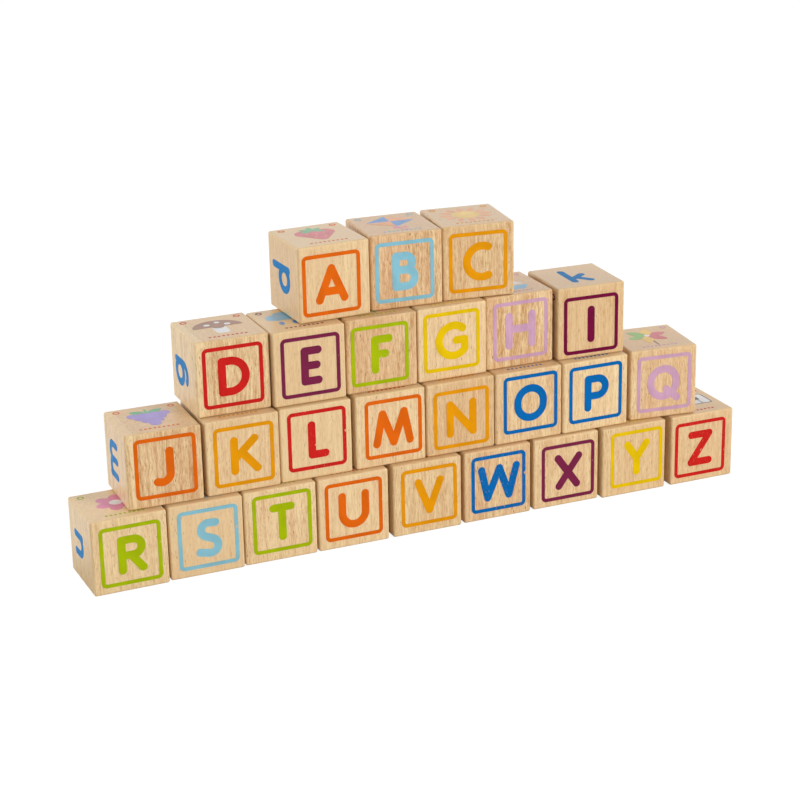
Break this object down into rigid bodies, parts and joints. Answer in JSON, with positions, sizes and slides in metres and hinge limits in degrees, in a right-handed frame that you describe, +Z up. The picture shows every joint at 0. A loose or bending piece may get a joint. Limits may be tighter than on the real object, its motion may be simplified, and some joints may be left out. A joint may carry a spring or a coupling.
{
  "type": "alphabet block set",
  "caption": "Loose wooden alphabet cubes with a framed capital letter on each front, stacked as a stepped wall to lift or slide apart.",
  "frame": {"origin": "middle of the stacked wall's bounding box, on the surface that it stands on", "axes": "+X along the wall to the right as its letters are read, +Y from the lettered fronts to the back, +Z up"},
  "size_m": [0.3718, 0.0603, 0.1606],
  "materials": {
    "wood": "matte",
    "ink_orange": "satin",
    "ink_sky": "satin",
    "ink_amber": "satin",
    "ink_red": "satin",
    "ink_purple": "satin",
    "ink_lime": "satin",
    "ink_yellow": "satin",
    "ink_lilac": "satin",
    "ink_magenta": "satin",
    "ink_blue": "satin"
  },
  "bodies": {
    "cube_a": {"block_a": "wood", "print_a": "ink_orange"},
    "cube_b": {"block_b": "wood", "print_b": "ink_sky"},
    "cube_c": {"block_c": "wood", "print_c": "ink_amber"},
    "cube_d": {"block_d": "wood", "print_d": "ink_red"},
    "cube_e": {"block_e": "wood", "print_e": "ink_purple"},
    "cube_f": {"block_f": "wood", "print_f": "ink_lime"},
    "cube_g": {"block_g": "wood", "print_g": "ink_yellow"},
    "cube_h": {"block_h": "wood", "print_h": "ink_lilac"},
    "cube_i": {"block_i": "wood", "print_i": "ink_magenta"},
    "cube_j": {"block_j": "wood", "print_j": "ink_orange"},
    "cube_k": {"block_k": "wood", "print_k": "ink_amber"},
    "cube_l": {"block_l": "wood", "print_l": "ink_red"},
    "cube_m": {"block_m": "wood", "print_m": "ink_orange"},
    "cube_n": {"block_n": "wood", "print_n": "ink_amber"},
    "cube_o": {"block_o": "wood", "print_o": "ink_blue"},
    "cube_p": {"block_p": "wood", "print_p": "ink_blue"},
    "cube_q": {"block_q": "wood", "print_q": "ink_lilac"},
    "cube_r": {"block_r": "wood", "print_r": "ink_lime"},
    "cube_s": {"block_s": "wood", "print_s": "ink_sky"},
    "cube_t": {"block_t": "wood", "print_t": "ink_lime"},
    "cube_u": {"block_u": "wood", "print_u": "ink_orange"},
    "cube_v": {"block_v": "wood", "print_v": "ink_amber"},
    "cube_w": {"block_w": "wood", "print_w": "ink_blue"},
    "cube_x": {"block_x": "wood", "print_x": "ink_purple"},
    "cube_y": {"block_y": "wood", "print_y": "ink_yellow"},
    "cube_z": {"block_z": "wood", "print_z": "ink_red"}
  },
  "joints": [
    {"name": "lift_a", "type": "slide", "parent": "cube_v", "child": "cube_a", "axis": [0, 0, 1], "range_m": [0, 0.06]},
    {"name": "lift_b", "type": "slide", "parent": "cube_v", "child": "cube_b", "axis": [0, 0, 1], "range_m": [0, 0.06]},
    {"name": "lift_c", "type": "slide", "parent": "cube_v", "child": "cube_c", "axis": [0, 0, 1], "range_m": [0, 0.06]},
    {"name": "lift_d", "type": "slide", "parent": "cube_v", "child": "cube_d", "axis": [0, 0, 1], "range_m": [0, 0.06]},
    {"name": "pull_e", "type": "slide", "parent": "cube_v", "child": "cube_e", "axis": [0, -1, 0], "range_m": [0, 0.06]},
    {"name": "pull_f", "type": "slide", "parent": "cube_v", "child": "cube_f", "axis": [0, -1, 0], "range_m": [0, 0.06]},
    {"name": "pull_g", "type": "slide", "parent": "cube_v", "child": "cube_g", "axis": [0, -1, 0], "range_m": [0, 0.06]},
    {"name": "pull_h", "type": "slide", "parent": "cube_v", "child": "cube_h", "axis": [0, -1, 0], "range_m": [0, 0.06]},
    {"name": "lift_i", "type": "slide", "parent": "cube_p", "child": "cube_i", "axis": [0, 0, 1], "range_m": [0, 0.06]},
    {"name": "lift_j", "type": "slide", "parent": "cube_v", "child": "cube_j", "axis": [0, 0, 1], "range_m": [0, 0.06]},
    {"name": "pull_k", "type": "slide", "parent": "cube_v", "child": "cube_k", "axis": [0, -1, 0], "range_m": [0, 0.06]},
    {"name": "pull_l", "type": "slide", "parent": "cube_v", "child": "cube_l", "axis": [0, -1, 0], "range_m": [0, 0.06]},
    {"name": "pull_m", "type": "slide", "parent": "cube_v", "child": "cube_m", "axis": [0, -1, 0], "range_m": [0, 0.06]},
    {"name": "pull_n", "type": "slide", "parent": "cube_v", "child": "cube_n", "axis": [0, -1, 0], "range_m": [0, 0.06]},
    {"name": "pull_o", "type": "slide", "parent": "cube_v", "child": "cube_o", "axis": [0, -1, 0], "range_m": [0, 0.06]},
    {"name": "lift_p", "type": "slide", "parent": "cube_v", "child": "cube_p", "axis": [0, 0, 1], "range_m": [0, 0.06]},
    {"name": "lift_q", "type": "slide", "parent": "cube_v", "child": "cube_q", "axis": [0, 0, 1], "range_m": [0, 0.06]},
    {"name": "pull_r", "type": "slide", "parent": "cube_v", "child": "cube_r", "axis": [0, -1, 0], "range_m": [0, 0.06]},
    {"name": "pull_s", "type": "slide", "parent": "cube_v", "child": "cube_s", "axis": [0, -1, 0], "range_m": [0, 0.06]},
    {"name": "pull_t", "type": "slide", "parent": "cube_v", "child": "cube_t", "axis": [0, -1, 0], "range_m": [0, 0.06]},
    {"name": "pull_u", "type": "slide", "parent": "cube_v", "child": "cube_u", "axis": [0, -1, 0], "range_m": [0, 0.06]},
    {"name": "pull_w", "type": "slide", "parent": "cube_v", "child": "cube_w", "axis": [0, -1, 0], "range_m": [0, 0.06]},
    {"name": "pull_x", "type": "slide", "parent": "cube_v", "child": "cube_x", "axis": [0, -1, 0], "range_m": [0, 0.06]},
    {"name": "pull_y", "type": "slide", "parent": "cube_v", "child": "cube_y", "axis": [0, -1, 0], "range_m": [0, 0.06]},
    {"name": "pull_z", "type": "slide", "parent": "cube_v", "child": "cube_z", "axis": [0, -1, 0], "range_m": [0, 0.06]}
  ]
}
